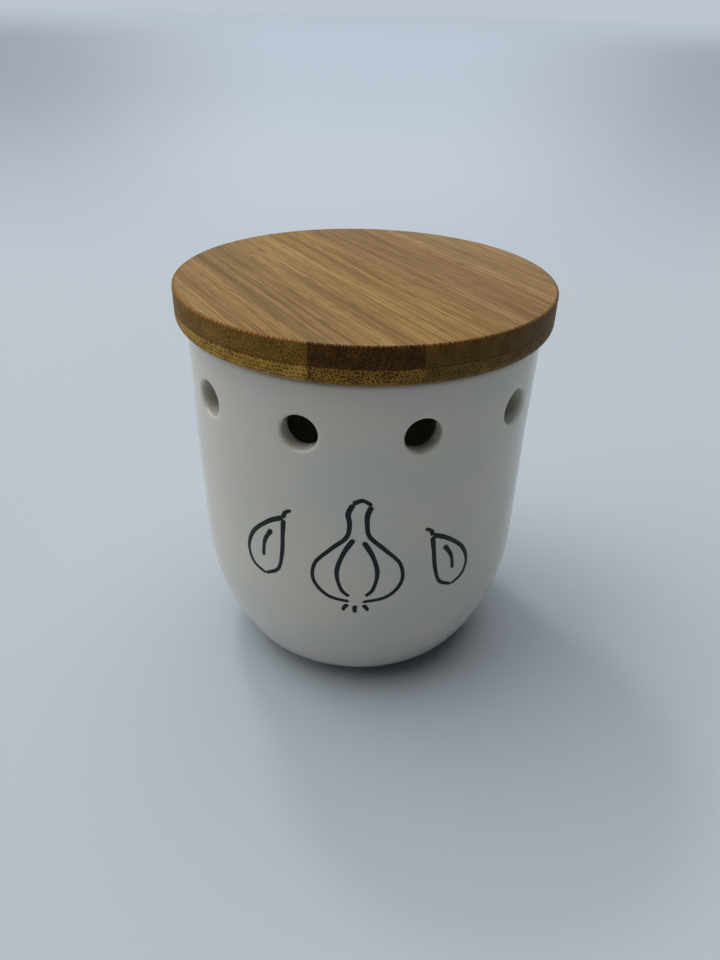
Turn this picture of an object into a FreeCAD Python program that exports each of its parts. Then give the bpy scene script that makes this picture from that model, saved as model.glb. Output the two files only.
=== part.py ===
import FreeCAD, Part
import math
import os
import Sketcher
from FreeCAD import Placement, Rotation, Vector

# Garlic keeper: a vented round jar and a two-ply bamboo lid with a plug and a soft ring under it.
# The jar stands on its foot ring at z = 0, on the Z axis, and its front faces -Y.

doc = FreeCAD.newDocument("garlic_keeper")

# Driving dimensions: millimetres, degrees and counts
driving = {
    "jar_height": 121.0,        # floor to the rim that the lid rests on
    "rim_radius": 56.8,         # outside of the wall, at the rim
    "wall_taper": 0.7,          # how much narrower the wall is where the belly begins
    "belly_height": 45.0,       # the straight wall ends here and the rounded belly begins
    "heel_radius": 14.0,        # the tight curve between the belly and the foot
    "wall": 6.0,                # thickness of the fired clay, everywhere but the foot
    "rim_round": 1.8,
    "foot_inset": 22.1,         # from the wall, where the belly begins, in to the foot's outside
    "foot_height": 1.2,         # the foot ring stands this far below the heel
    "foot_width": 6.0,
    "foot_recess": 2.2,         # hollow under the jar, inside the foot ring
    "foot_round": 0.5,
    "vent_count": 10.0,
    "vent_radius": 5.5,
    "vent_drop": 16.5,          # rim to the vents' centres
    "vent_round": 1.1,          # softened edge of each vent, outside and inside
    "lid_overhang": 3.2,        # the lid's edge stands out past the rim
    "upper_ply": 6.3,
    "lower_ply": 5.7,
    "lid_top_round": 0.6,
    "lid_bottom_round": 3.4,
    "grain_angle": 31.3,        # the strips run along +Y turned this far towards -X
    "strip_width": 25.9,
    "first_joint": 42.4,        # from the axis to the first glue joint, across the grain
    "plug_gap": 3.0,            # all round, between the plug and the mouth
    "plug_depth": 8.0,
    "plug_round": 1.2,
    "groove_drop": 2.2,         # from the lid's underside to the groove's upper wall
    "groove_height": 3.2,
    "groove_depth": 2.4,
    "seal_gap": 0.3,            # between the soft ring and the mouth
    "seal_play": 0.1,           # between the soft ring and the groove's floor
}
stripCount = 5

sheet = doc.addObject("Spreadsheet::Sheet", "sizes")
for row, (alias, number) in enumerate(driving.items(), start=1):
    sheet.set(f"A{row}", alias)
    sheet.set(f"B{row}", str(number))
    sheet.setAlias(f"B{row}", alias)
doc.recompute()


class Size:
    """A size as a number and as the sheet expression that gives it, so both follow each other."""

    def __init__(self, number, text):
        self.number = number
        self.text = text

    def __add__(self, other):
        return Size(self.number + other.number, f"({self.text} + {other.text})")

    def __sub__(self, other):
        return Size(self.number - other.number, f"({self.text} - {other.text})")

    def __mul__(self, other):
        return Size(self.number * other.number, f"({self.text} * {other.text})")

    def __truediv__(self, other):
        return Size(self.number / other.number, f"({self.text} / {other.text})")

    def __neg__(self):
        return Size(-self.number, f"(-1 * {self.text})")


def size(alias):
    """The sheet's value of this name."""
    return Size(float(sheet.get(alias)), f"sizes.{alias}")


def times(count, value):
    """A whole or part number of this size."""
    return Size(count, str(count)) * value


zero = Size(0.0, "0")


def bind(thing, path, value):
    """Ties one property of an object or one constraint of a sketch to the sheet."""
    thing.setExpression(path, value.text)


def newBody(name, height=zero):
    """A body whose own origin lies at this height on the jar's axis."""
    body = doc.addObject("PartDesign::Body", name)
    body.Label = name
    body.Placement = Placement(Vector(0, 0, height.number), Rotation())
    bind(body, "Placement.Base.z", height)
    return body


def originFeature(body, role):
    """One of the body's own origin planes or axes."""
    return [feature for feature in body.Origin.OriginFeatures if feature.Role == role][0]


def newSketch(body, name, role="XZ_Plane"):
    """A sketch on one of the body's own origin planes."""
    sketch = body.newObject("Sketcher::SketchObject", name)
    sketch.AttachmentSupport = [(originFeature(body, role), "")]
    sketch.MapMode = "FlatFace"
    return sketch


def addLine(sketch, start, end):
    return sketch.addGeometry(Part.LineSegment(Vector(*start, 0), Vector(*end, 0)), False)


def addArc(sketch, centre, start, end):
    """A circular arc about centre, anticlockwise from start to end."""
    circle = Part.Circle(Vector(*centre, 0), Vector(0, 0, 1), math.dist(centre, start))
    turns = [math.atan2(point[1] - centre[1], point[0] - centre[0]) for point in (start, end)]
    return sketch.addGeometry(Part.ArcOfCircle(circle, *turns), False)


def join(sketch, first, firstEnd, second, secondEnd, kind="Coincident"):
    """Two edges meet end to end: end 1 is an edge's start and 2 its end. Tangent ends also meet."""
    sketch.addConstraint(Sketcher.Constraint(kind, first, firstEnd, second, secondEnd))


def place(sketch, edge, end, x=None, y=None):
    """Sets the distance of an edge's end from the sketch's origin, along X, Y or both."""
    for kind, value in (("DistanceX", x), ("DistanceY", y)):
        if value is not None:
            index = sketch.addConstraint(Sketcher.Constraint(kind, -1, 1, edge, end, value.number))
            bind(sketch, f"Constraints[{index}]", value)


def polygon(sketch, corners):
    """A closed outline of straight edges through these corners, each a pair of sizes."""
    count = len(corners)
    for k in range(count):
        ends = [(x.number, y.number) for x, y in (corners[k], corners[(k + 1) % count])]
        addLine(sketch, *ends)
    for k in range(count):
        join(sketch, k, 2, (k + 1) % count, 1)
    for k, (x, y) in enumerate(corners):
        place(sketch, k, 1, x, y)


def revolve(body, sketch, name):
    """Turns a sketch once round the upright axis."""
    turned = body.newObject("PartDesign::Revolution", name)
    turned.Profile = sketch
    turned.ReferenceAxis = (sketch, ["V_Axis"])
    turned.Angle = 360.0
    doc.recompute()
    return turned


def roundEdges(body, base, name, radius, wanted):
    """Rounds each edge of base that wanted() picks by its shape."""
    names = [f"Edge{k}" for k, edge in enumerate(base.Shape.Edges, start=1) if wanted(edge)]
    if not names:
        raise RuntimeError(f"{name}: no edge to round")
    rounded = body.newObject("PartDesign::Fillet", name)
    rounded.Base = (base, names)
    rounded.Radius = radius.number
    bind(rounded, "Radius", radius)
    body.Tip = rounded
    doc.recompute()
    return rounded


def isRing(edge, height, radius=None):
    """True for a level round edge at this height, of this radius if one is given."""
    box = edge.BoundBox
    level = abs(box.ZMin - height) < 0.01 and abs(box.ZMax - height) < 0.01
    return level and (radius is None or abs(box.XMax - radius) < 0.01)


# Sizes that several pieces share
jarHeight = size("jar_height")
rimRadius = size("rim_radius")
waistRadius = rimRadius - size("wall_taper")
wall = size("wall")
mouthRadius = rimRadius - wall
lidRadius = rimRadius + size("lid_overhang")
lidBottom = jarHeight
plyJoint = lidBottom + size("lower_ply")
# How much narrower the mouth is at the plug's bottom than at the rim
mouthTaper = size("wall_taper") * size("plug_depth") / (jarHeight - size("belly_height"))
plugRadius = mouthRadius - mouthTaper - size("plug_gap")
grooveRadius = plugRadius - size("groove_depth")
grooveTop = -size("groove_drop")
grooveBottom = grooveTop - size("groove_height")


def bellyArc(waist, wallFoot, heelCentre, heelRadius):
    """Centre and radius of the arc that leaves the wall's line at the waist and meets the heel."""
    run = (wallFoot[0] - waist[0], wallFoot[1] - waist[1])
    length = math.hypot(*run)
    inward = (-run[1] / length, run[0] / length)
    apart = (waist[0] - heelCentre[0], waist[1] - heelCentre[1])
    along = apart[0] * inward[0] + apart[1] * inward[1]
    radius = (heelRadius**2 - apart[0] ** 2 - apart[1] ** 2) / (2 * (along + heelRadius))
    return (waist[0] + radius * inward[0], waist[1] + radius * inward[1]), radius


def makeJar():
    """The clay jar: a turned wall of even thickness, a foot ring and a ring of vents."""
    body = newBody("jar")
    sketch = newSketch(body, "jar_section")
    heel = size("heel_radius")
    footRadius = waistRadius - size("foot_inset")
    footInner = footRadius - size("foot_width")
    footTop = size("foot_height")
    recess = size("foot_recess")
    bellyHeight = size("belly_height")

    # Where the outline's points start before the constraints hold them
    rim = (rimRadius.number, jarHeight.number)
    waist = (waistRadius.number, bellyHeight.number)
    heelCentre = (footRadius.number, footTop.number + heel.number)
    bellyCentre, bellyRadius = bellyArc(waist, rim, heelCentre, heel.number)
    reach = math.dist(bellyCentre, heelCentre)
    down = [(heelCentre[k] - bellyCentre[k]) / reach for k in (0, 1)]
    out = [(waist[k] - bellyCentre[k]) / bellyRadius for k in (0, 1)]
    thick = wall.number
    meet = [heelCentre[k] + heel.number * down[k] for k in (0, 1)]
    innerMeet = [heelCentre[k] + (heel.number - thick) * down[k] for k in (0, 1)]
    innerWaist = [waist[k] - thick * out[k] for k in (0, 1)]
    footOut = (footRadius.number, 0.0)
    footStep = (footRadius.number, footTop.number)
    footIn = (footInner.number, 0.0)
    under = (footInner.number, recess.number)
    floorEdge = (footRadius.number, footTop.number + thick)

    # Outline, anticlockwise from the axis under the jar
    underside = addLine(sketch, (0.0, recess.number), under)
    footInside = addLine(sketch, under, footIn)
    footFace = addLine(sketch, footIn, footOut)
    footOutside = addLine(sketch, footOut, footStep)
    heelArc = addArc(sketch, heelCentre, footStep, meet)
    belly = addArc(sketch, bellyCentre, meet, waist)
    outerWall = addLine(sketch, waist, rim)
    rimFace = addLine(sketch, rim, (mouthRadius.number, rim[1]))
    innerWall = addLine(sketch, (mouthRadius.number, rim[1]), innerWaist)
    innerBelly = addArc(sketch, bellyCentre, innerMeet, innerWaist)
    innerHeel = addArc(sketch, heelCentre, floorEdge, innerMeet)
    innerFloor = addLine(sketch, floorEdge, (0.0, floorEdge[1]))
    axis = addLine(sketch, (0.0, floorEdge[1]), (0.0, recess.number))

    for first, second in (
        (underside, footInside),
        (footInside, footFace),
        (footFace, footOutside),
        (footOutside, heelArc),
        (outerWall, rimFace),
        (rimFace, innerWall),
        (innerFloor, axis),
        (axis, underside),
    ):
        join(sketch, first, 2, second, 1)
    join(sketch, heelArc, 2, belly, 1, "Tangent")
    join(sketch, belly, 2, outerWall, 1, "Tangent")
    join(sketch, innerWall, 2, innerBelly, 2, "Tangent")
    join(sketch, innerBelly, 1, innerHeel, 2, "Tangent")
    join(sketch, innerHeel, 1, innerFloor, 1)
    # The inner curves share the outer curves' centres, and the inner wall is parallel to the outer
    join(sketch, innerBelly, 3, belly, 3)
    join(sketch, innerHeel, 3, heelArc, 3)
    sketch.addConstraint(Sketcher.Constraint("Parallel", innerWall, outerWall))
    # The heel ends level, over the foot ring's outside and the floor's edge
    join(sketch, heelArc, 3, heelArc, 1, "Vertical")
    join(sketch, innerHeel, 3, innerHeel, 1, "Vertical")
    for level in (underside, footFace, rimFace, innerFloor):
        sketch.addConstraint(Sketcher.Constraint("Horizontal", level))
    for upright in (footInside, footOutside):
        sketch.addConstraint(Sketcher.Constraint("Vertical", upright))

    place(sketch, outerWall, 2, rimRadius, jarHeight)
    place(sketch, outerWall, 1, waistRadius, bellyHeight)
    place(sketch, innerWall, 1, x=mouthRadius)
    place(sketch, footOutside, 1, footRadius, zero)
    place(sketch, heelArc, 1, y=footTop)
    place(sketch, footFace, 1, x=footInner)
    place(sketch, underside, 1, zero, recess)
    place(sketch, axis, 1, x=zero)
    index = sketch.addConstraint(Sketcher.Constraint("Radius", heelArc, heel.number))
    bind(sketch, f"Constraints[{index}]", heel)

    turned = revolve(body, sketch, "jar_wall")
    rimmed = roundEdges(
        body, turned, "jar_rim", size("rim_round"), lambda edge: isRing(edge, jarHeight.number)
    )
    footed = roundEdges(body, rimmed, "jar_foot", size("foot_round"), lambda edge: isRing(edge, 0.0))

    # One vent half a step round from the front, cut from the axis out through the wall
    step = 360.0 / driving["vent_count"]
    vent = newSketch(body, "vent_outline")
    vent.AttachmentOffset = Placement(Vector(), Rotation(Vector(0, 1, 0), step / 2))
    vent.setExpression("AttachmentOffset.Rotation.Angle", "180 / sizes.vent_count")
    ventHeight = jarHeight - size("vent_drop")
    ventRadius = size("vent_radius")
    centre = Vector(0, ventHeight.number, 0)
    circle = vent.addGeometry(Part.Circle(centre, Vector(0, 0, 1), ventRadius.number), False)
    place(vent, circle, 3, zero, ventHeight)
    index = vent.addConstraint(Sketcher.Constraint("Radius", circle, ventRadius.number))
    bind(vent, f"Constraints[{index}]", ventRadius)
    pocket = body.newObject("PartDesign::Pocket", "vent")
    pocket.Profile = vent
    pocket.Reversed = True
    pocket.Length = rimRadius.number
    bind(pocket, "Length", rimRadius)
    doc.recompute()
    cut = footed.Shape.Volume - pocket.Shape.Volume
    if cut < math.pi * ventRadius.number**2 * wall.number * 0.9:
        raise RuntimeError("the first vent doesn't cut the wall")
    ring = body.newObject("PartDesign::PolarPattern", "vent_ring")
    ring.Originals = [pocket]
    ring.Axis = (originFeature(body, "Z_Axis"), [""])
    ring.Angle = 360.0
    ring.Occurrences = int(driving["vent_count"])
    bind(ring, "Occurrences", size("vent_count"))
    body.Tip = ring
    doc.recompute()

    def isVentEdge(edge):
        box = edge.BoundBox
        middle = (box.ZMin + box.ZMax) / 2
        return abs(middle - ventHeight.number) < 0.5 and box.ZLength > ventRadius.number

    roundEdges(body, ring, "vent_edges", size("vent_round"), isVentEdge)
    return body


def makeBoard(name, thickness, roundName, roundedHeight):
    """One round ply of the lid before it is divided into strips, with one rounded edge."""
    board = doc.addObject("PartDesign::Body", name)
    sketch = newSketch(board, f"{name}_outline", "XY_Plane")
    circle = sketch.addGeometry(Part.Circle(Vector(), Vector(0, 0, 1), lidRadius.number), False)
    join(sketch, circle, 3, -1, 1)
    index = sketch.addConstraint(Sketcher.Constraint("Radius", circle, lidRadius.number))
    bind(sketch, f"Constraints[{index}]", lidRadius)
    pad = board.newObject("PartDesign::Pad", f"{name}_pad")
    pad.Profile = sketch
    pad.Length = thickness.number
    bind(pad, "Length", thickness)
    doc.recompute()
    roundEdges(
        board, pad, f"{name}_edge", size(roundName), lambda edge: isRing(edge, roundedHeight.number)
    )
    return board


def makeStrips(ply, board, thickness, height):
    """Divides a ply into strips, side by side along its own X axis and turned to the grain."""
    width = size("strip_width")
    joints = [times(k, width) - size("first_joint") for k in range(stripCount - 1)]
    sides = [-lidRadius - wall] + joints + [lidRadius + wall]
    strips = []
    for k in range(stripCount):
        name = f"lid_{ply}_strip_{k + 1}"
        slab = doc.addObject("Part::Box", f"{name}_slab")
        for path, value in (
            ("Length", sides[k + 1] - sides[k]),
            ("Width", times(2, lidRadius + wall)),
            ("Height", thickness),
            ("Placement.Base.x", sides[k]),
            ("Placement.Base.y", -lidRadius - wall),
        ):
            bind(slab, path, value)
        strip = doc.addObject("Part::Common", name)
        strip.Label = name
        strip.Base = board
        strip.Tool = slab
        grain = size("grain_angle")
        turn = Rotation(Vector(0, 0, 1), grain.number)
        strip.Placement = Placement(Vector(0, 0, height.number), turn)
        bind(strip, "Placement.Base.z", height)
        bind(strip, "Placement.Rotation.Angle", grain)
        strips.append(strip)
    doc.recompute()
    return strips


def makePlug():
    """The bamboo disc under the lid, with a groove round it, measured down from the lid."""
    body = newBody("lid_plug", lidBottom)
    sketch = newSketch(body, "plug_section")
    bottom = -size("plug_depth")
    corners = [
        (zero, zero),
        (zero, bottom),
        (plugRadius, bottom),
        (plugRadius, grooveBottom),
        (grooveRadius, grooveBottom),
        (grooveRadius, grooveTop),
        (plugRadius, grooveTop),
        (plugRadius, zero),
    ]
    polygon(sketch, corners)
    turned = revolve(body, sketch, "plug_disc")
    roundEdges(
        body, turned, "plug_edge", size("plug_round"), lambda edge: isRing(edge, bottom.number)
    )
    return body


def makeSeal():
    """The soft ring: a flat band in the groove with two round beads towards the mouth."""
    body = newBody("seal_ring", lidBottom)
    sketch = newSketch(body, "seal_section")
    inner = grooveRadius + size("seal_play")
    outer = mouthRadius - mouthTaper - size("seal_gap")
    bead = times(0.25, size("groove_height"))
    middle = grooveTop - times(2, bead)
    beadAxis = outer - bead

    lower = (beadAxis.number, grooveBottom.number)
    waist = (beadAxis.number, middle.number)
    upper = (beadAxis.number, grooveTop.number)
    lowerCentre = (beadAxis.number, (middle - bead).number)
    upperCentre = (beadAxis.number, (middle + bead).number)
    inside = [(inner.number, level.number) for level in (grooveBottom, grooveTop)]

    back = addLine(sketch, inside[1], inside[0])
    under = addLine(sketch, inside[0], lower)
    lowerBead = addArc(sketch, lowerCentre, lower, waist)
    upperBead = addArc(sketch, upperCentre, waist, upper)
    top = addLine(sketch, upper, inside[1])
    edges = [back, under, lowerBead, upperBead, top]
    for k, edge in enumerate(edges):
        join(sketch, edge, 2, edges[(k + 1) % len(edges)], 1)
    place(sketch, back, 1, inner, grooveTop)
    place(sketch, under, 1, inner, grooveBottom)
    place(sketch, lowerBead, 1, beadAxis, grooveBottom)
    place(sketch, upperBead, 1, beadAxis, middle)
    place(sketch, top, 1, beadAxis, grooveTop)
    for arc in (lowerBead, upperBead):
        place(sketch, arc, 3, x=beadAxis)
    revolve(body, sketch, "seal_band")
    return body


upperPly = size("upper_ply")
lowerPly = size("lower_ply")
upperBoard = makeBoard("upper_board", upperPly, "lid_top_round", upperPly)
lowerBoard = makeBoard("lower_board", lowerPly, "lid_bottom_round", zero)

pieces = [makeJar()]
pieces += makeStrips("upper", upperBoard, upperPly, plyJoint)
pieces += makeStrips("lower", lowerBoard, lowerPly, lidBottom)
pieces += [makePlug(), makeSeal()]
doc.recompute()

for thing in doc.Objects:
    if "Invalid" in thing.State or "Error" in thing.State:
        raise RuntimeError(f"{thing.Label} didn't build: {thing.State}")
for piece in pieces:
    if piece.Shape.isNull() or not piece.Shape.isValid() or len(piece.Shape.Solids) != 1:
        raise RuntimeError(f"{piece.Label} isn't one sound solid")

os.makedirs("parts", exist_ok=True)
for piece in pieces:
    piece.Shape.exportStep(f"parts/{piece.Label}.step")
    box = piece.Shape.BoundBox
    print(
        f"{piece.Label}: {piece.Shape.Volume / 1000:.1f} cm3, "
        f"{box.XLength:.1f} x {box.YLength:.1f} x {box.ZLength:.1f} mm, "
        f"z {box.ZMin:.2f} to {box.ZMax:.2f}"
    )
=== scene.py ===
import math

import bmesh
import bpy
import numpy as np
from mathutils import Matrix, Vector


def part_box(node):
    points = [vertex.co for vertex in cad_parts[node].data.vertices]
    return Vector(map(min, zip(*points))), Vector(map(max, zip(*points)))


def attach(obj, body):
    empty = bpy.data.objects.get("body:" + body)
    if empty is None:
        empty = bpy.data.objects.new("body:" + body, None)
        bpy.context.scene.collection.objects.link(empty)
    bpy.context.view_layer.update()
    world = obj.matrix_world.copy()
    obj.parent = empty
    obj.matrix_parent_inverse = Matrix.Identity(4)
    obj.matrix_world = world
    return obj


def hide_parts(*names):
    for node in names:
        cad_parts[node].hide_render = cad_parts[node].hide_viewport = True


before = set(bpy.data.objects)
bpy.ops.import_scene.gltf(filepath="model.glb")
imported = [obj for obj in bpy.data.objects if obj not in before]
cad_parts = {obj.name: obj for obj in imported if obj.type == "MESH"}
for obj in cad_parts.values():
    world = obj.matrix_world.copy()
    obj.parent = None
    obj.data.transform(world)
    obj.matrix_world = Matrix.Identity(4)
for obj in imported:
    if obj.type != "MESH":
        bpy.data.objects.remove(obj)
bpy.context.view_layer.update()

# Garlic keeper: white glazed jar with a ring of vents, bamboo lid, dark brush drawing on the front.
# Everything is in metres. The front faces -Y, and angles round the jar are counted from the
# front towards +X.

mm = 0.001
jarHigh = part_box("jar")[1]
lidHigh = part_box("lid_upper_strip_3")[1]
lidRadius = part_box("lid_upper_strip_5")[1][0]
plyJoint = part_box("lid_lower_strip_3")[1][2]
mergeGap = 0.002 * mm            # points of a new piece that lie nearer than this are one point
print("frame: jar", round(jarHigh.z / mm, 1), "mm tall, lid radius", round(lidRadius / mm, 1), "mm")


def smoothStep(low, high, value):
    # 0 below low, 1 above high, and 3t^2 - 2t^3 in between
    t = np.clip((value - low) / (high - low), 0.0, 1.0)
    return t * t * (3.0 - 2.0 * t)


def meshPiece(name, points, quads, material):
    # One closed piece from a table of points and a table of four-cornered faces
    data = bpy.data.meshes.new(name)
    data.from_pydata(points.reshape(-1, 3).tolist(), [], quads.reshape(-1, 4).tolist())
    shell = bmesh.new()
    shell.from_mesh(data)
    bmesh.ops.remove_doubles(shell, verts=shell.verts, dist=mergeGap)
    bmesh.ops.recalc_face_normals(shell, faces=shell.faces)
    shell.to_mesh(data)
    shell.free()
    data.polygons.foreach_set("use_smooth", np.full(len(data.polygons), True))
    data.materials.append(material)
    piece = bpy.data.objects.new(name, data)
    bpy.context.scene.collection.objects.link(piece)
    return piece


def gridQuads(rows, columns, first=0, closed=True):
    # Faces of a grid of points, row by row: point (i, j) is number first + i * columns + j
    i, j = np.meshgrid(np.arange(rows - 1), np.arange(columns if closed else columns - 1), indexing="ij")
    k = (j + 1) % columns
    corners = (i * columns + j, i * columns + k, (i + 1) * columns + k, (i + 1) * columns + j)
    return np.stack(corners, axis=-1).reshape(-1, 4) + first


def joinGrids(grids):
    # One table of points and one of faces from several grids, each closed across its columns
    quads, first = [], 0
    for grid in grids:
        rows, columns = grid.shape[:2]
        quads.append(gridQuads(rows, columns, first))
        first += rows * columns
    return np.concatenate([grid.reshape(-1, 3) for grid in grids]), np.concatenate(quads)


# Shader graph helpers

def startMaterial(name):
    material = bpy.data.materials.new(name)
    material.use_nodes = True
    tree = material.node_tree
    tree.nodes.clear()
    output = tree.nodes.new("ShaderNodeOutputMaterial")
    shader = tree.nodes.new("ShaderNodeBsdfPrincipled")
    tree.links.new(shader.outputs["BSDF"], output.inputs["Surface"])
    return material, tree, shader


def plug(tree, socket, value):
    # A socket takes either another node's output or a plain value
    if isinstance(value, bpy.types.NodeSocket):
        tree.links.new(value, socket)
    else:
        socket.default_value = value


def calc(tree, operation, *values):
    node = tree.nodes.new("ShaderNodeMath")
    node.operation = operation
    for socket, value in zip(node.inputs, values):
        plug(tree, socket, value)
    return node.outputs[0]


def ramp(tree, value, low, high, bottom=0.0, top=1.0):
    # Smooth change from bottom to top while value goes from low to high
    node = tree.nodes.new("ShaderNodeMapRange")
    node.interpolation_type = "SMOOTHSTEP"
    for key, number in (("From Min", low), ("From Max", high), ("To Min", bottom), ("To Max", top)):
        node.inputs[key].default_value = number
    plug(tree, node.inputs["Value"], value)
    return node.outputs["Result"]


def blendColour(tree, factor, first, second):
    node = tree.nodes.new("ShaderNodeMix")
    node.data_type = "RGBA"
    plug(tree, node.inputs[0], factor)
    for socket, colour in ((node.inputs[6], first), (node.inputs[7], second)):
        plug(tree, socket, (*colour, 1.0) if isinstance(colour, tuple) else colour)
    return node.outputs[2]


def noise(tree, vector, scale, detail=3.0, roughness=0.5):
    node = tree.nodes.new("ShaderNodeTexNoise")
    plug(tree, node.inputs["Vector"], vector)
    for key, value in (("Scale", scale), ("Detail", detail), ("Roughness", roughness)):
        node.inputs[key].default_value = value
    return node.outputs["Fac"]


def shade(colour, factor):
    # The same colour, each part times the factor
    return tuple(factor * part for part in colour)


def joinVector(tree, x, y, z):
    node = tree.nodes.new("ShaderNodeCombineXYZ")
    for socket, value in zip(node.inputs, (x, y, z)):
        plug(tree, socket, value)
    return node.outputs[0]


def splitVector(tree, vector):
    node = tree.nodes.new("ShaderNodeSeparateXYZ")
    plug(tree, node.inputs[0], vector)
    return node.outputs[0], node.outputs[1], node.outputs[2]


def millimetres(tree, turn=0.0):
    # Object coordinates in millimetres, turned about the upright axis, and the surface's normal
    source = tree.nodes.new("ShaderNodeTexCoord")
    turned = []
    for output, scale in (("Object", 1.0 / mm), ("Normal", 1.0)):
        mapping = tree.nodes.new("ShaderNodeMapping")
        mapping.inputs["Rotation"].default_value = (0.0, 0.0, turn)
        mapping.inputs["Scale"].default_value = (scale, scale, scale)
        tree.links.new(source.outputs[output], mapping.inputs["Vector"])
        turned.append(mapping.outputs["Vector"])
    return turned


def bump(tree, height, strength, distance, normal=None):
    # Distance is in metres; normal is an earlier bump that this one goes on top of
    node = tree.nodes.new("ShaderNodeBump")
    node.inputs["Strength"].default_value = strength
    node.inputs["Distance"].default_value = distance
    plug(tree, node.inputs["Height"], height)
    if normal is not None:
        plug(tree, node.inputs["Normal"], normal)
    return node.outputs["Normal"]


# Glaze: off-white over the whole jar but the foot ring, thinner and warmer just above the bare clay

glazeLook = {
    "white": (0.66, 0.619, 0.532),
    "cool": (0.622, 0.607, 0.530),
    "thin": (0.62, 0.56, 0.45),        # where the glaze runs thin over the foot's edge
    "clay": (0.52, 0.44, 0.34),        # bare fired clay of the foot ring
    "glazeEnd": 1.5,                   # mm above the floor
    "roughness": 0.09,
    "clayRoughness": 0.82,
    "clayShade": 0.78,                 # darker grains in the clay
    "speckStrength": 0.35,
    "pool": (0.35, 0.6 * mm),          # strength and depth of the glaze's slow unevenness
    "peel": (0.10, 0.1 * mm),          # and of its fine one
}


def makeGlaze():
    look = glazeLook
    material, tree, shader = startMaterial("whiteGlaze")
    place = millimetres(tree)[0]
    height = splitVector(tree, place)[2]
    cloud = noise(tree, place, 0.045, 4.0)
    speck = noise(tree, place, 1.9, 2.0)
    white = blendColour(tree, ramp(tree, cloud, 0.35, 0.65), look["white"], look["cool"])
    specks = ramp(tree, speck, 0.735, 0.80, 0.0, look["speckStrength"])
    speckled = blendColour(tree, specks, white, look["thin"])
    wavy = calc(tree, "ADD", height, calc(tree, "MULTIPLY", noise(tree, place, 0.16), 0.8))
    edge = ramp(tree, wavy, look["glazeEnd"] + 0.3, look["glazeEnd"] + 2.6)
    glazed = blendColour(tree, edge, look["thin"], speckled)
    bare = ramp(tree, wavy, look["glazeEnd"] - 0.05, look["glazeEnd"] + 0.1)
    grit = noise(tree, place, 3.2, 4.0)
    clay = blendColour(tree, grit, look["clay"], shade(look["clay"], look["clayShade"]))
    plug(tree, shader.inputs["Base Color"], blendColour(tree, bare, clay, glazed))
    roughness = ramp(tree, bare, 0.0, 1.0, look["clayRoughness"], look["roughness"])
    plug(tree, shader.inputs["Roughness"], roughness)
    pool = noise(tree, place, 0.11, 2.0)
    peel = noise(tree, place, 0.75, 2.0)
    soft = bump(tree, pool, *look["pool"])
    plug(tree, shader.inputs["Normal"], bump(tree, peel, *look["peel"], soft))
    shader.inputs["IOR"].default_value = 1.5
    shader.inputs["Subsurface Weight"].default_value = 0.04
    shader.inputs["Subsurface Radius"].default_value = (0.0012, 0.001, 0.0008)
    return material


# Brush colour: nearly black blue, a little paler where the brush ran dry

inkLook = {
    "dark": (0.002, 0.003, 0.007),
    "dry": (0.006, 0.009, 0.017),
}


def makeInk():
    material, tree, shader = startMaterial("brushBlue")
    place = millimetres(tree)[0]
    wash = noise(tree, place, 0.55, 4.0, 0.6)
    colour = blendColour(tree, ramp(tree, wash, 0.42, 0.75), inkLook["dark"], inkLook["dry"])
    plug(tree, shader.inputs["Base Color"], colour)
    plug(tree, shader.inputs["Roughness"], ramp(tree, wash, 0.3, 0.8, 0.3, 0.45))
    shader.inputs["Specular IOR Level"].default_value = 0.25
    plug(tree, shader.inputs["Normal"], bump(tree, noise(tree, place, 1.6), 0.12, 0.1 * mm))
    return material


# Bamboo: fibres run along each strip, so they are streaks on the faces and dots on the cut edge

bambooLook = {
    "grainAngle": math.radians(31.3),  # from +Y towards -X
    # Width and length in mm of four sorts of streak, from the finest to the broadest
    "hair": (0.40, 42.0),
    "dash": (0.46, 9.0),
    "streak": (0.90, 90.0),
    "tone": (3.6, 150.0),
    "wander": 1.6,                     # mm that the fibres drift sideways along their length
    "pale": 1.22,                      # palest streaks against a strip's light tone
    "brown": 0.70,                     # darkest streaks against its dark tone
    "band": 0.76,                      # broad dark bands against its dark tone
    "cutShade": 0.66,                  # darker patches of the cut edge
    "glueLine": (0.030, 0.014, 0.003),
    "paintedHighlightColour": (0.34, 0.135, 0.018),   # painted highlight: orange line on the top edge's rounding, where light catches it
    "toothGap": 0.85,                  # mm between the dark fibre ends along the top edge
    "toothDepth": 1.25,                # mm that they reach down, at most
    "toothShade": 0.8,                 # their tone against the dots'
    "faceEnd": (0.62, 0.38),           # mm inside the rim: the face's tone fades to the cut edge's
    "poreDepth": 0.12 * mm,
}
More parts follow.
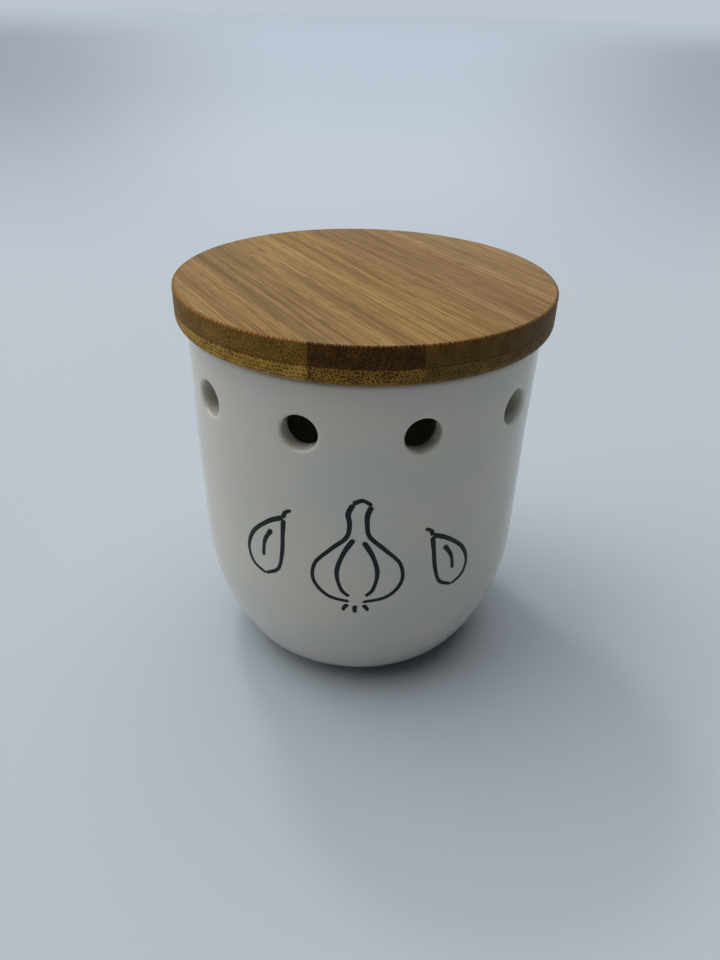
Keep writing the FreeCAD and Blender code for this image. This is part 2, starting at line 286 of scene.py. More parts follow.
# For each strip: light and dark tone of the faces, ground and dot tone of the cut edge, dots to a
# millimetre, a dot's radius as part of its cell, how irregular the dots lie, strength of the painted
# highlight along the top edge, and dark bands as (centre, half width, depth) across the grain in
# millimetres
stripLooks = {
    "upper": [
        dict(light=(0.300, 0.178, 0.052), dark=(0.195, 0.092, 0.018), cut=(0.255, 0.132, 0.020),
             dot=(0.090, 0.040, 0.006), dense=1.5, size=0.40, loose=0.8, paintedHighlight=0.9,
             bands=[(-50.0, 1.6, 0.3)]),
        dict(light=(0.292, 0.176, 0.048), dark=(0.172, 0.088, 0.018), cut=(0.105, 0.045, 0.005),
             dot=(0.024, 0.009, 0.001), dense=1.6, size=0.46, loose=0.9, paintedHighlight=0.15,
             bands=[(-39.6, 2.6, 0.9), (-34.5, 2.0, 0.35), (-20.5, 1.2, 0.2)]),
        dict(light=(0.305, 0.184, 0.048), dark=(0.202, 0.102, 0.021), cut=(0.165, 0.085, 0.012),
             dot=(0.062, 0.030, 0.004), dense=1.6, size=0.40, loose=0.9, paintedHighlight=0.5,
             bands=[(4.0, 2.4, 0.25)]),
        dict(light=(0.268, 0.156, 0.048), dark=(0.176, 0.088, 0.022), cut=(0.150, 0.080, 0.014),
             dot=(0.060, 0.030, 0.006), dense=1.7, size=0.40, loose=0.9, paintedHighlight=0.5,
             bands=[(13.0, 2.0, 0.35), (24.0, 3.0, 0.4)]),
        dict(light=(0.300, 0.188, 0.064), dark=(0.200, 0.108, 0.032), cut=(0.185, 0.112, 0.034),
             dot=(0.080, 0.042, 0.011), dense=1.7, size=0.40, loose=0.9, paintedHighlight=0.35,
             bands=[(44.0, 2.5, 0.3)]),
    ],
    "lower": [
        dict(light=(0.34, 0.215, 0.090), dark=(0.24, 0.130, 0.045), cut=(0.500, 0.282, 0.048),
             dot=(0.090, 0.036, 0.006), dense=0.88, size=0.35, loose=0.42, paintedHighlight=0.0, bands=[]),
        dict(light=(0.32, 0.200, 0.080), dark=(0.21, 0.115, 0.042), cut=(0.330, 0.170, 0.028),
             dot=(0.034, 0.012, 0.002), dense=1.5, size=0.44, loose=0.9, paintedHighlight=0.0, bands=[]),
        dict(light=(0.34, 0.215, 0.085), dark=(0.23, 0.130, 0.045), cut=(0.220, 0.122, 0.024),
             dot=(0.050, 0.024, 0.005), dense=1.6, size=0.42, loose=0.9, paintedHighlight=0.0, bands=[]),
        dict(light=(0.31, 0.190, 0.080), dark=(0.21, 0.115, 0.044), cut=(0.195, 0.112, 0.026),
             dot=(0.060, 0.029, 0.007), dense=1.6, size=0.42, loose=0.9, paintedHighlight=0.0, bands=[]),
        dict(light=(0.33, 0.210, 0.095), dark=(0.22, 0.125, 0.052), cut=(0.220, 0.136, 0.042),
             dot=(0.080, 0.040, 0.011), dense=1.6, size=0.40, loose=0.9, paintedHighlight=0.0, bands=[]),
    ],
}
plugLook = dict(light=(0.34, 0.215, 0.090), dark=(0.24, 0.130, 0.045), cut=(0.24, 0.140, 0.040),
                dot=(0.09, 0.044, 0.011), dense=1.3, size=0.40, loose=0.8, paintedHighlight=0.0, bands=[])


def scaledVector(tree, parts):
    # One vector from (coordinate, factor) pairs
    return joinVector(tree, *(calc(tree, "MULTIPLY", value, factor) for value, factor in parts))


def makeBamboo(name, look, rimRadius, edgeTop):
    # rimRadius and edgeTop say where the toothed top edge and its painted highlight are, on a strip that
    # has one
    wood = bambooLook
    material, tree, shader = startMaterial(name)
    place, normal = millimetres(tree, -wood["grainAngle"])
    across, along, up = splitVector(tree, place)
    # The fibres wander a little sideways along their length
    drift = noise(tree, scaledVector(tree, ((across, 0.05), (along, 0.022), (up, 0.0))), 1.0, 2.0)
    aside = calc(tree, "MULTIPLY", calc(tree, "SUBTRACT", drift, 0.5), wood["wander"])
    side = calc(tree, "ADD", across, aside)

    def fibres(wide, long, detail, shift=0.0):
        # Noise drawn out along the grain; the shift keeps the sorts of streak apart
        moved = calc(tree, "ADD", side, shift)
        vector = scaledVector(tree, ((moved, 1.0 / wide), (along, 1.0 / long), (up, 1.0 / wide)))
        return noise(tree, vector, 1.0, detail, 0.5)

    hair = fibres(*wood["hair"], 2.0)
    dash = fibres(*wood["dash"], 1.0, 17.0)
    streak = fibres(*wood["streak"], 2.0, 40.0)
    tone = fibres(*wood["tone"], 2.0, 90.0)
    face = blendColour(tree, ramp(tree, tone, 0.35, 0.65, 0.0, 0.8), look["light"], look["dark"])
    pale = shade(look["light"], wood["pale"])
    brown = shade(look["dark"], wood["brown"])
    face = blendColour(tree, ramp(tree, streak, 0.58, 0.74, 0.0, 0.45), face, pale)
    face = blendColour(tree, ramp(tree, streak, 0.28, 0.44, 0.40, 0.0), face, look["dark"])
    face = blendColour(tree, ramp(tree, hair, 0.30, 0.46, 0.45, 0.0), face, pale)
    face = blendColour(tree, ramp(tree, hair, 0.50, 0.62, 0.0, 0.80), face, brown)
    face = blendColour(tree, ramp(tree, dash, 0.56, 0.68, 0.0, 0.9), face, brown)
    for centre, halfWidth, depth in look["bands"]:
        off = calc(tree, "ABSOLUTE", calc(tree, "SUBTRACT", side, centre))
        band = ramp(tree, off, halfWidth * 0.3, halfWidth * 1.6, depth, 0.0)
        rough = calc(tree, "MULTIPLY", band, ramp(tree, streak, 0.30, 0.60, 1.0, 0.6))
        face = blendColour(tree, rough, face, shade(look["dark"], wood["band"]))

    # Cut edge: fibre ends as dark dots, laid out by the arc length round the edge and the height
    turn = calc(tree, "ARCTAN2", across, calc(tree, "MULTIPLY", along, -1.0))
    arcLength = calc(tree, "MULTIPLY", turn, lidRadius / mm)
    flatPlace = joinVector(tree, arcLength, up, 0.0)
    warp = noise(tree, flatPlace, 0.9, 2.0)
    lean = calc(tree, "ADD", calc(tree, "MULTIPLY", up, 0.5), calc(tree, "MULTIPLY", warp, 0.7))
    cells = tree.nodes.new("ShaderNodeTexVoronoi")
    cells.voronoi_dimensions = "2D"
    cells.inputs["Scale"].default_value = look["dense"]
    cells.inputs["Randomness"].default_value = look["loose"]
    plug(tree, cells.inputs["Vector"], joinVector(tree, calc(tree, "ADD", arcLength, lean), up, 0.0))
    swell = ramp(tree, noise(tree, flatPlace, 0.33, 2.0), 0.3, 0.7, 0.75, 1.2)
    size = calc(tree, "DIVIDE", cells.outputs["Distance"], swell)
    dots = ramp(tree, size, look["size"] * 0.6, look["size"] * 1.15, 0.92, 0.0)
    patch = noise(tree, flatPlace, 0.22, 3.0)
    shaded = shade(look["cut"], wood["cutShade"])
    ground = blendColour(tree, ramp(tree, patch, 0.35, 0.68), look["cut"], shaded)
    cut = blendColour(tree, dots, ground, look["dot"])
    toJoint = calc(tree, "ABSOLUTE", calc(tree, "SUBTRACT", up, plyJoint / mm))
    cut = blendColour(tree, ramp(tree, toJoint, 0.08, 0.30, 0.6, 0.0), cut, wood["glueLine"])

    # Along the top edge the fibre ends stand as dark teeth in an orange line of painted highlight on the
    # edge's rounding
    upright = calc(tree, "ABSOLUTE", splitVector(tree, normal)[2])
    flat = ramp(tree, upright, 0.55, 0.9)
    squares = [calc(tree, "MULTIPLY", part, part) for part in (across, along)]
    radius = calc(tree, "SQRT", calc(tree, "ADD", *squares))
    fromTop = calc(tree, "SUBTRACT", edgeTop / mm, up)
    # painted highlight: orange along the top edge's rounding, as if light caught it
    paintedHighlight = ramp(tree, fromTop, 0.15, 0.70, look["paintedHighlight"], 0.0)
    cut = blendColour(tree, paintedHighlight, cut, wood["paintedHighlightColour"])
    teeth = tree.nodes.new("ShaderNodeTexVoronoi")
    teeth.voronoi_dimensions = "1D"
    teeth.inputs["Scale"].default_value = 1.0
    teeth.inputs["Randomness"].default_value = 0.85
    plug(tree, teeth.inputs["W"], calc(tree, "DIVIDE", arcLength, wood["toothGap"]))
    tooth = ramp(tree, teeth.outputs["Distance"], 0.14, 0.34, 1.0, 0.0)
    depth = calc(tree, "MULTIPLY", noise(tree, flatPlace, 0.9, 2.0), wood["toothDepth"])
    near = ramp(tree, calc(tree, "SUBTRACT", fromTop, depth), -0.2, 0.2, 0.9, 0.0)
    toothTone = shade(look["dot"], wood["toothShade"])
    cut = blendColour(tree, calc(tree, "MULTIPLY", tooth, near), cut, toothTone)
    reach = calc(tree, "ADD", radius, calc(tree, "MULTIPLY", tooth, 0.35))
    bite = ramp(tree, reach, *(rimRadius / mm - inside for inside in wood["faceEnd"]))
    onFace = calc(tree, "MULTIPLY", flat, calc(tree, "SUBTRACT", 1.0, bite))
    plug(tree, shader.inputs["Base Color"], blendColour(tree, onFace, cut, face))
    plug(tree, shader.inputs["Roughness"], ramp(tree, hair, 0.3, 0.7, 0.50, 0.66))
    plug(tree, shader.inputs["Specular IOR Level"], ramp(tree, onFace, 0.0, 1.0, 0.10, 0.22))
    pores = calc(tree, "SUBTRACT", calc(tree, "MULTIPLY", hair, -0.6), calc(tree, "MULTIPLY", dots, 0.4))
    plug(tree, shader.inputs["Normal"], bump(tree, pores, 0.35, wood["poreDepth"]))
    return material


siliconeLook = {
    "milky": (0.62, 0.63, 0.61),
    "grey": (0.52, 0.53, 0.50),
}


def makeSilicone():
    material, tree, shader = startMaterial("clearSilicone")
    place = millimetres(tree)[0]
    haze = noise(tree, place, 0.4, 3.0)
    colour = blendColour(tree, ramp(tree, haze, 0.3, 0.7), siliconeLook["milky"], siliconeLook["grey"])
    plug(tree, shader.inputs["Base Color"], colour)
    plug(tree, shader.inputs["Roughness"], ramp(tree, haze, 0.3, 0.7, 0.32, 0.45))
    plug(tree, shader.inputs["Normal"], bump(tree, noise(tree, place, 2.5), 0.15, 0.1 * mm))
    shader.inputs["Subsurface Weight"].default_value = 0.3
    shader.inputs["Subsurface Radius"].default_value = (0.002, 0.002, 0.0018)
    return material


glaze = makeGlaze()
ink = makeInk()
print("glaze and brush colour made")


# Jar: a profile turned round the axis, with a ring of vents let into it

jarShape = {
    "rimRadius": 56.8 * mm,
    "wallTaper": 0.7 * mm,       # the wall narrows this much down to the belly
    "bellyHeight": 45.0 * mm,
    "heelRadius": 14.0 * mm,
    "wall": 6.0 * mm,
    "rimRound": 1.8 * mm,
    "footRadius": 34.0 * mm,
    "footHeight": 1.2 * mm,
    "footWidth": 6.0 * mm,
    "footRecess": 2.2 * mm,
    "footRound": 0.5 * mm,
    "ventCount": 10,
    "ventRadius": 5.5 * mm,
    "ventDrop": 16.5 * mm,
    "ventRound": 1.1 * mm,
    "ventBand": 9.0 * mm,        # half height of the band of wall that holds the vents
    "columns": 20,               # columns of faces to a vent
    "unevenness": 0.16 * mm,     # hand-made waviness of the wall
    "waveStart": (4.0 * mm, 30.0 * mm),    # heights between which it comes in over the foot
    "waveEnd": (84.0 * mm, 111.0 * mm),    # and goes out again, below the lid's seal
}


def bellyArc():
    # Arc that is tangent to the wall's line at the waist and to the heel's arc
    s = jarShape
    waist = np.array([s["rimRadius"] - s["wallTaper"], s["bellyHeight"]])
    run = np.array([s["wallTaper"], jarHigh.z - s["bellyHeight"]])
    inward = np.array([-run[1], run[0]]) / np.hypot(*run)
    heel = np.array([s["footRadius"], s["footHeight"] + s["heelRadius"]])
    apart = waist - heel
    radius = (s["heelRadius"] ** 2 - apart @ apart) / (2 * (apart @ inward + s["heelRadius"]))
    return waist + radius * inward, radius, heel, math.atan2(-inward[1], -inward[0])


bellyCentre, bellyRadius, heelCentre, waistTurn = bellyArc()
heelTurn = math.atan2(heelCentre[1] - bellyCentre[1], heelCentre[0] - bellyCentre[0])


def wallRadius(height, inset=0.0):
    # Radius of the straight wall: a line from the waist to the rim
    s = jarShape
    rise = (height - s["bellyHeight"]) / (jarHigh.z - s["bellyHeight"])
    return s["rimRadius"] - s["wallTaper"] * (1.0 - rise) - inset


def arc(centre, radius, start, end, count):
    # centre + radius * (cos t, sin t) for t from start to end
    t = np.linspace(start, end, count)
    return np.stack([centre[0] + radius * np.cos(t), centre[1] + radius * np.sin(t)], axis=1)


def straight(start, end, count):
    # start + (end - start) * t
    t = np.linspace(0.0, 1.0, count)[:, None]
    return np.asarray(start) * (1.0 - t) + np.asarray(end) * t


def bellyRun(inset, count):
    # Heel arc and then belly arc, from the foot up to the waist
    heel = arc(heelCentre, jarShape["heelRadius"] - inset, -math.pi / 2, heelTurn, count // 2)
    belly = arc(bellyCentre, bellyRadius - inset, heelTurn, waistTurn, count)
    return np.concatenate([heel[:-1], belly])


def wave(angle, height):
    # Sum of size * sin(n a + rise z + start) over four slow waves, faded out at the rim and the foot
    turns = ((2, 0.021, 0.4, 0.9), (3, 0.035, 2.1, 0.6), (5, 0.060, 4.0, 0.35), (1, 0.048, 5.2, 0.8))
    total = sum(size * np.sin(n * angle + height / mm * rise + start) for n, rise, start, size in turns)
    s = jarShape
    fade = smoothStep(*s["waveStart"], height) * (1.0 - smoothStep(*s["waveEnd"], height))
    return s["unevenness"] * total * fade


def turnProfile(profile, columns):
    # (r sin a, -r cos a, z) for each point of the profile and each angle
    angle = np.arange(columns) * 2.0 * math.pi / columns
    r, z = profile[:, :1], profile[:, 1:]
    points = (r * np.sin(angle), -r * np.cos(angle), z + 0.0 * angle)
    return np.stack(points, axis=-1)


def ventPatches(low, high, middle):
    # Each vent's piece of wall as rings of points: in from a rectangle on the outside, round the
    # edge, through the wall and out again to the same rectangle on the inside. Sideways is u,
    # outwards is v: on the wall u = r sin a and v = r cos a, in the vent u = p cos t.
    s = jarShape
    half = math.pi / s["ventCount"]
    n = s["columns"]
    edge = np.linspace(-1.0, 1.0, n + 1)[:-1]
    one = np.ones(n)
    rectTurn = half * np.concatenate([edge, one, -edge, -one])
    rectRise = np.concatenate([-one, edge, one, -edge])
    rectZ = middle + rectRise * (high - middle)
    turn = np.arctan2(rectZ - middle, rectTurn * s["rimRadius"])
    hole, soft = s["ventRadius"], s["ventRound"]

    def onWall(share, inset):
        lip = hole + soft
        z = rectZ * (1.0 - share) + (middle + lip * np.sin(turn)) * share
        r = wallRadius(z, inset)
        a = rectTurn * (1.0 - share) + np.arcsin(lip * np.cos(turn) / r) * share
        return r * np.sin(a), r * np.cos(a), z

    def inVent(reach, inset, depth):
        u, z = reach * np.cos(turn), middle + reach * np.sin(turn)
        return u, np.sqrt(wallRadius(z, inset) ** 2 - u * u) + depth, z

    shares = np.linspace(0.0, 1.0, 8)
    bends = np.linspace(0.0, math.pi / 2, 7)[1:]
    rings = [onWall(share, 0.0) for share in shares]
    rings += [inVent(hole + soft * (1 - math.sin(b)), 0.0, -soft * (1 - math.cos(b))) for b in bends]
    mouth, back = rings[-1], inVent(hole, s["wall"], soft)
    rings += [[a * (1 - t) + b * t for a, b in zip(mouth, back)] for t in (0.33, 0.67)]
    rings += [inVent(hole + soft * (1 - math.sin(b)), s["wall"], soft * (1 - math.cos(b)))
              for b in bends[::-1]]
    rings += [onWall(share, s["wall"]) for share in shares[::-1]]
    u, v, z = (np.array([ring[k] for ring in rings])[None] for k in range(3))
    centre = (np.arange(s["ventCount"]) * 2.0 + 1.0)[:, None, None] * half
    points = (u * np.cos(centre) + v * np.sin(centre), u * np.sin(centre) - v * np.cos(centre))
    return np.stack([*points, z + 0.0 * centre], axis=-1)


def makeJar():
    s = jarShape
    columns = s["columns"] * s["ventCount"]
    top, wall, soft = jarHigh.z, s["wall"], s["rimRound"]
    middle = top - s["ventDrop"]
    low, high = middle - s["ventBand"], middle + s["ventBand"]
    footIn, footOut, small = s["footRadius"] - s["footWidth"], s["footRadius"], s["footRound"]
    rimOut, rimIn = wallRadius(top), wallRadius(top, wall)
    quarter = math.pi / 2
    # Three profiles of (r, z) from the middle of the underside to the middle of the floor inside,
    # with the vents' band left open between them; each run ends with its number of points
    outside = np.concatenate([
        straight((0.0, s["footRecess"]), (footIn, s["footRecess"]), 12)[:-1],
        straight((footIn, s["footRecess"]), (footIn, small), 4)[:-1],
        arc((footIn + small, small), small, -2 * quarter, -quarter, 5),
        arc((footOut - small, small), small, -quarter, 0.0, 5),
        straight((footOut, small), (footOut, s["footHeight"]), 3)[1:-1],
        bellyRun(0.0, 40)[:-1],
        straight((wallRadius(s["bellyHeight"]), s["bellyHeight"]), (wallRadius(low), low), 24),
    ])
    mouth = np.concatenate([
        straight((wallRadius(high), high), (rimOut, top - soft), 6)[:-1],
        arc((rimOut - soft, top - soft), soft, 0.0, quarter, 9),
        arc((rimIn + soft, top - soft), soft, quarter, 2 * quarter, 9),
        straight((rimIn, top - soft), (wallRadius(high, wall), high), 6)[1:],
    ])
    floor = s["footHeight"] + wall
    inside = np.concatenate([
        straight((wallRadius(low, wall), low), (wallRadius(s["bellyHeight"], wall), s["bellyHeight"]), 24),
        bellyRun(wall, 40)[::-1][1:],
        straight((footOut, floor), (0.0, floor), 14)[1:],
    ])
    # Columns start at the front, half a vent's step before the first vent's middle
    grids = [turnProfile(run, columns) for run in (outside, mouth, inside)]
    points, quads = joinGrids(grids + list(ventPatches(low, high, middle)))
    reach = np.hypot(points[:, 0], points[:, 1])
    angle = np.arctan2(points[:, 0], -points[:, 1])
    grow = 1.0 + wave(angle, points[:, 2]) / np.maximum(reach, 5 * mm)
    points[:, :2] *= grow[:, None]
    jar = meshPiece("jarBody", points, quads, glaze)
    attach(jar, "jar")
    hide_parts("jar")
    print("jar:", len(jar.data.polygons), "faces")


makeJar()


# Brush drawing on the front: a garlic bulb between two cloves

drawing = {
    "strokeWidth": 1.75 * mm,
    "lift": 0.06 * mm,            # how far a stroke stands above the glaze
    "sink": 0.06 * mm,            # how far its underside lies below it
    "strokeSides": 10,            # points round a stroke
    # For each figure: mm round from the front, mm up from the floor, lean in degrees, size, side
    "bulbs": [(0.0, 46.5, 0.0, 1.08, 1.0)],
    "cloves": [(-31.0, 51.0, -12.0, 1.28, 1.0), (32.0, 48.0, 16.0, 1.2, -1.0)],
}
# Control points of each stroke in millimetres, x to the right and y up from the figure's foot
bulbStrokes = [
    [(-1.6, 34.2), (-2.9, 31.0), (-2.5, 27.5), (-3.3, 23.2), (-7.4, 18.9), (-12.2, 13.0),
     (-12.6, 6.6), (-8.4, 1.7), (-2.0, 0.1)],
    [(3.4, 33.6), (2.4, 31.0), (2.3, 27.6), (3.1, 23.6), (7.0, 19.4), (12.0, 13.6), (12.8, 7.0),
     (8.8, 1.9), (1.4, 0.0)],
    [(-1.2, 22.8), (-4.2, 17.2), (-5.9, 10.6), (-4.6, 4.6), (-2.2, 2.0)],
    [(1.4, 22.0), (4.2, 16.6), (5.6, 10.8), (4.6, 5.0), (2.4, 2.2)],
    [(-1.8, 34.3), (0.9, 35.4), (3.6, 33.8)],
    [(-2.6, -0.9), (-3.6, -2.2), (-4.0, -3.6)],
    [(-0.4, -1.2), (-0.6, -2.8), (-0.4, -4.2)],
    [(1.8, -1.0), (2.8, -2.2), (3.3, -3.4)],
]
cloveStrokes = [
    [(2.0, 19.6), (-1.6, 16.2), (-5.2, 10.6), (-6.0, 5.0), (-3.8, 0.9), (0.4, -0.2)],
    [(2.2, 19.2), (2.8, 14.6), (3.6, 9.0), (3.4, 3.4), (0.2, -0.2)],
    [(2.0, 19.4), (2.3, 21.2), (3.6, 22.6)],
    [(-0.3, 14.4), (-1.6, 9.8), (-1.2, 4.8)],
]


def smoothPath(corners, steps=10):
    # Catmull-Rom curve through the corners, evaluated for all spans at once
    p = np.asarray(corners, float)
    p = np.concatenate([[2 * p[0] - p[1]], p, [2 * p[-1] - p[-2]]])
    a, b, c, d = (p[k:len(p) - 3 + k, None] for k in range(4))
    t = np.linspace(0.0, 1.0, steps, endpoint=False)[None, :, None]
    square, cube = 2 * a - 5 * b + 4 * c - d, 3 * b - a - 3 * c + d
    curve = 0.5 * (2 * b + (c - a) * t + square * t**2 + cube * t**3)
    return np.concatenate([curve.reshape(-1, 2), p[-2:-1]])


def strokeGrid(path, x, y, lean, size, side):
    # A flat oval carried along the path and wrapped onto the wall: the oval's width lies in the
    # wall's surface and goes to nothing at both ends, like a brush lifted off
    d = drawing
    turn = math.radians(lean)
    spin = np.array([[math.cos(turn), math.sin(turn)], [-math.sin(turn), math.cos(turn)]])
    path = ((path * (side * size, size)) @ spin + (x, y)) * mm
    run = np.gradient(path, axis=0)
    run /= np.linalg.norm(run, axis=1)[:, None]
    t = np.linspace(0.0, 1.0, len(path))
    length = np.linalg.norm(np.diff(path, axis=0), axis=1).sum()
    ends = np.minimum(t, 1.0 - t) * length / (0.5 * d["strokeWidth"])
    swell = 0.86 + 0.14 * np.sin(3.0 * t + 2.0) + 0.05 * np.sin(17.0 * t)
    taper = np.sqrt(np.clip(ends * (2.0 - np.minimum(ends, 1.0)), 0.0, 1.0))
    half = 0.5 * d["strokeWidth"] * swell * taper
    around = np.arange(d["strokeSides"]) * 2.0 * math.pi / d["strokeSides"]
    offset = half[:, None] * np.cos(around)
    aside = path[:, :1] - run[:, 1:] * offset
    z = path[:, 1:] + run[:, :1] * offset
    bulge = np.where(np.sin(around) > 0, d["lift"], d["sink"]) * np.sin(around)
    fullness = np.clip(half / (0.3 * d["strokeWidth"]), 0.0, 1.0)[:, None]
    angle = aside / wallRadius(z)
    radius = wallRadius(z) + wave(angle, z) + bulge * fullness
    return np.stack([radius * np.sin(angle), -radius * np.cos(angle), z], axis=-1)


def makeDrawing():
    d = drawing
    figures = [(place, bulbStrokes) for place in d["bulbs"]]
    figures += [(place, cloveStrokes) for place in d["cloves"]]
    grids = [strokeGrid(smoothPath(path), *place) for place, strokes in figures for path in strokes]
    strokes = meshPiece("frontDrawing", *joinGrids(grids), ink)
    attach(strokes, "jar")
    print("drawing:", len(grids), "strokes")


makeDrawing()


# Lid: each strip keeps the frame's own shape, with its seams merged and its arrises just broken

lidFinish = {
    "arris": 0.12 * mm,
    "arrisAngle": math.radians(50.0),   # sharper edges than this are broken
    "sharpAngle": math.radians(32.0),   # and sharper ones than this stay sharp in the shading
    "mergeGap": 0.001 * mm,
    "flatAngle": 0.003,                 # faces that differ by less, in radians, are one face
}


def mergedCopy(node, name, material, arris=0.0):
    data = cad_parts[node].data.copy()
    data.name = name
    shell = bmesh.new()
    shell.from_mesh(data)
    bmesh.ops.remove_doubles(shell, verts=shell.verts, dist=lidFinish["mergeGap"])
    bmesh.ops.dissolve_limit(
        shell, angle_limit=lidFinish["flatAngle"], verts=shell.verts, edges=shell.edges
    )
    shell.to_mesh(data)
    shell.free()
    data.polygons.foreach_set("use_smooth", np.full(len(data.polygons), True))
    data.set_sharp_from_angle(angle=lidFinish["sharpAngle"])
    data.materials.clear()
    data.materials.append(material)
    piece = bpy.data.objects.new(name, data)
    bpy.context.scene.collection.objects.link(piece)
    if arris:
        bevel = piece.modifiers.new("arris", "BEVEL")
        bevel.width = arris
        bevel.segments = 2
        bevel.angle_limit = lidFinish["arrisAngle"]
        bevel.harden_normals = True
    weighted = piece.modifiers.new("evenShading", "WEIGHTED_NORMAL")
    weighted.keep_sharp = True
    return piece


def placeOnLid(piece, node):
    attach(piece, "lid")
    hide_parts(node)


# A lower strip and the plug have no toothed top edge with a painted highlight, so theirs is put out of
# reach
for ply, looks in stripLooks.items():
    for k, look in enumerate(looks, start=1):
        node = f"lid_{ply}_strip_{k}"
        edgeTop = lidHigh.z if ply == "upper" else 2.0 * lidHigh.z
        wood = makeBamboo(f"{ply}Bamboo{k}", look, lidRadius, edgeTop)
        placeOnLid(mergedCopy(node, f"{ply}Strip{k}", wood, lidFinish["arris"]), node)
plugWood = makeBamboo("plugBamboo", plugLook, 2 * lidRadius, 1.0)
placeOnLid(mergedCopy("lid_plug", "lidPlug", plugWood, lidFinish["arris"]), "lid_plug")
placeOnLid(mergedCopy("seal_ring", "sealRing", makeSilicone()), "seal_ring")
print("lid made")


# Studio: pale floor, two very broad lights from above, a small lamp for glints, a weak sky

studio = {
    # Floor tones: painted shade towards the front and at the far sides, a painted pool of light far off in
    # the middle
    "frontShadeColour": (0.430, 0.477, 0.519),
    "floorColour": (0.455, 0.505, 0.550),
    "paintedLightColour": (0.535, 0.593, 0.684),   # painted pool of light on the far floor in the middle
    "farShadeColour": (0.330, 0.371, 0.415),    # painted shade on the far floor at both sides
    "horizonColour": (0.500, 0.554, 0.638),
    "floorRoughness": 0.75,
    "floorHalf": 80.0,
    "floorPoints": 9,                      # along each side of its grid
    "skyColour": (0.86, 0.93, 1.0),
    "skyStrength": 0.05,
    # Broad lights: how many degrees they lean back and to the left, their width and strength
    "broadLights": [(8.0, -4.0, 66.0, 1.9), (4.0, -45.0, 62.0, 1.25)],
    "lampPlace": (-0.45, 0.75, 1.5),
    "lampSize": 0.22,
    "lampPower": 4.5,
}


def makeFloor():
    # A flat square grid of points at the height that the jar stands on
    half = studio["floorHalf"]
    count = studio["floorPoints"]
    side = np.linspace(-half, half, count)
    x, y = np.meshgrid(side, side, indexing="ij")
    points = np.stack([x, y, 0.0 * x], axis=-1)
    data = bpy.data.meshes.new("floor")
    quads = gridQuads(count, count, closed=False)
    data.from_pydata(points.reshape(-1, 3).tolist(), [], quads.tolist())
    material, tree, shader = startMaterial("paleTable")
    place = tree.nodes.new("ShaderNodeTexCoord").outputs["Object"]
    x, y = splitVector(tree, place)[:2]
    # Painted light and shade on the floor: slow change of tone by how near to the front, and how far aside
    # for that distance
    distance = calc(tree, "ADD", y, 0.24)
    near = calc(tree, "DIVIDE", 0.2, calc(tree, "MAXIMUM", distance, 0.1))
    far = ramp(tree, near, 0.02, 0.32, 1.0, 0.0)
    aside = calc(tree, "DIVIDE", calc(tree, "ABSOLUTE", x), calc(tree, "MAXIMUM", distance, 0.3))
    distant = blendColour(tree, ramp(tree, aside, 0.08, 0.46), studio["paintedLightColour"], studio["farShadeColour"])
    close = ramp(tree, distance, 0.08, 0.45)
    colour = blendColour(tree, close, studio["frontShadeColour"], studio["floorColour"])
    colour = blendColour(tree, far, colour, distant)
    colour = blendColour(tree, ramp(tree, near, 0.0, 0.035, 1.0, 0.0), colour, studio["horizonColour"])
    plug(tree, shader.inputs["Base Color"], colour)
    shader.inputs["Roughness"].default_value = studio["floorRoughness"]
    shader.inputs["Specular IOR Level"].default_value = 0.2
    data.materials.append(material)
    floor = bpy.data.objects.new("floor", data)
    bpy.context.scene.collection.objects.link(floor)


def addLights():
    # Each broad light is a sun with a wide disc; the small lamp looks at the origin
    s = studio
    for k, (back, left, width, strength) in enumerate(s["broadLights"], start=1):
        data = bpy.data.lights.new(f"broadLight{k}", "SUN")
        data.angle = math.radians(width)
        data.energy = strength
        sun = bpy.data.objects.new(f"broadLight{k}", data)
        sun.rotation_euler = (-math.radians(back), math.radians(left), 0.0)
        bpy.context.scene.collection.objects.link(sun)
    small = bpy.data.lights.new("smallLamp", "AREA")
    small.shape = "DISK"
    small.size = s["lampSize"]
    small.energy = s["lampPower"]
    lamp = bpy.data.objects.new("smallLamp", small)
    lamp.location = s["lampPlace"]
    lamp.rotation_euler = (-Vector(s["lampPlace"])).to_track_quat("-Z", "Y").to_euler()
    bpy.context.scene.collection.objects.link(lamp)


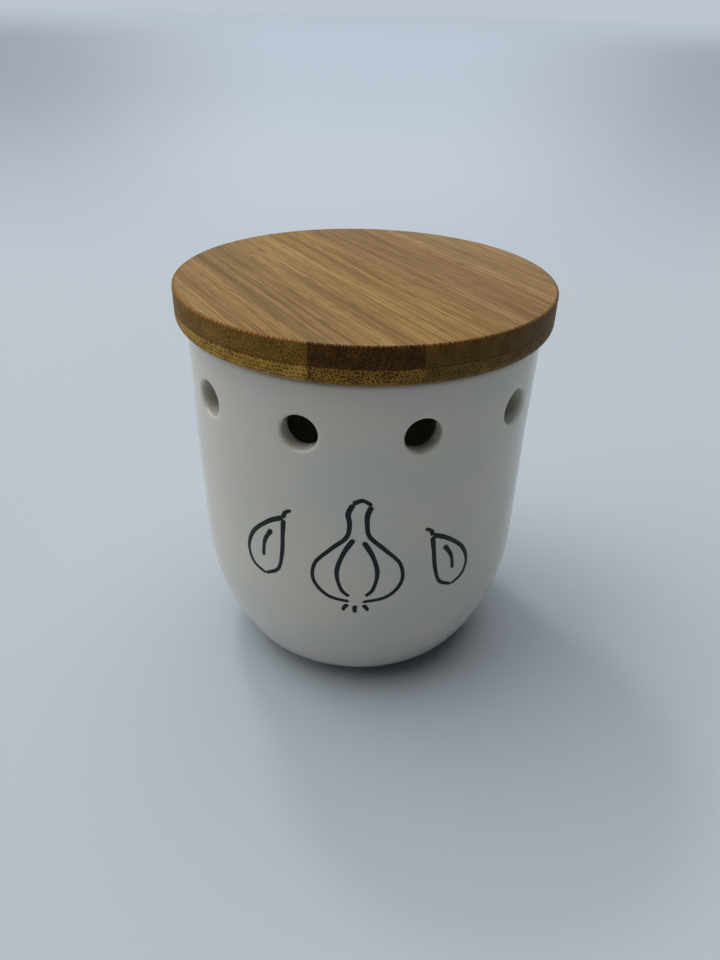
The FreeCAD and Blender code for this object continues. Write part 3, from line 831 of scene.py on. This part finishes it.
def makeSky():
    # Dim for the light that falls on the jar, pale where it is seen directly or in a reflection
    world = bpy.data.worlds.new("studioSky")
    world.use_nodes = True
    tree = world.node_tree
    dim = tree.nodes["Background"]
    dim.inputs["Color"].default_value = (*studio["skyColour"], 1.0)
    dim.inputs["Strength"].default_value = studio["skyStrength"]
    pale = tree.nodes.new("ShaderNodeBackground")
    pale.inputs["Color"].default_value = (*studio["horizonColour"], 1.0)
    rays = tree.nodes.new("ShaderNodeLightPath")
    seen = calc(tree, "MAXIMUM", rays.outputs["Is Camera Ray"], rays.outputs["Is Glossy Ray"])
    both = tree.nodes.new("ShaderNodeMixShader")
    tree.links.new(seen, both.inputs[0])
    tree.links.new(dim.outputs[0], both.inputs[1])
    tree.links.new(pale.outputs[0], both.inputs[2])
    tree.links.new(both.outputs[0], tree.nodes["World Output"].inputs["Surface"])
    bpy.context.scene.world = world


makeFloor()
makeSky()
addLights()


# Camera: placed from the lid's top centre, as the photograph's ellipse and outline give it

cameraFit = {
    "back": 3.927,                # in lid radii, from the middle of the lid's top
    "above": 1.174,
    "pitch": math.radians(31.94),
    "roll": math.radians(-1.55),
    "focalPixels": 750.0,
    "longSidePixels": 960.0,
    "sensorWidth": 36.0,
}


def makeCamera():
    c = cameraFit
    data = bpy.data.cameras.new("photoCamera")
    data.sensor_fit = "AUTO"
    data.sensor_width = c["sensorWidth"]
    data.lens = c["focalPixels"] / c["longSidePixels"] * data.sensor_width
    data.clip_start = 0.01
    forward = Vector((0.0, math.cos(c["pitch"]), -math.sin(c["pitch"])))
    right = Vector((1.0, 0.0, 0.0))
    down = forward.cross(right)
    tilted = math.cos(c["roll"]) * right + math.sin(c["roll"]) * down
    lower = -math.sin(c["roll"]) * right + math.cos(c["roll"]) * down
    camera = bpy.data.objects.new("photoCamera", data)
    turn = Matrix((tilted, -lower, -forward)).transposed()
    place = Vector((0.0, -c["back"] * lidRadius, lidHigh.z + c["above"] * lidRadius))
    camera.matrix_world = Matrix.Translation(place) @ turn.to_4x4()
    bpy.context.scene.collection.objects.link(camera)
    bpy.context.scene.camera = camera


makeCamera()
bpy.context.scene.view_settings.view_transform = "Standard"
print("studio and camera made")
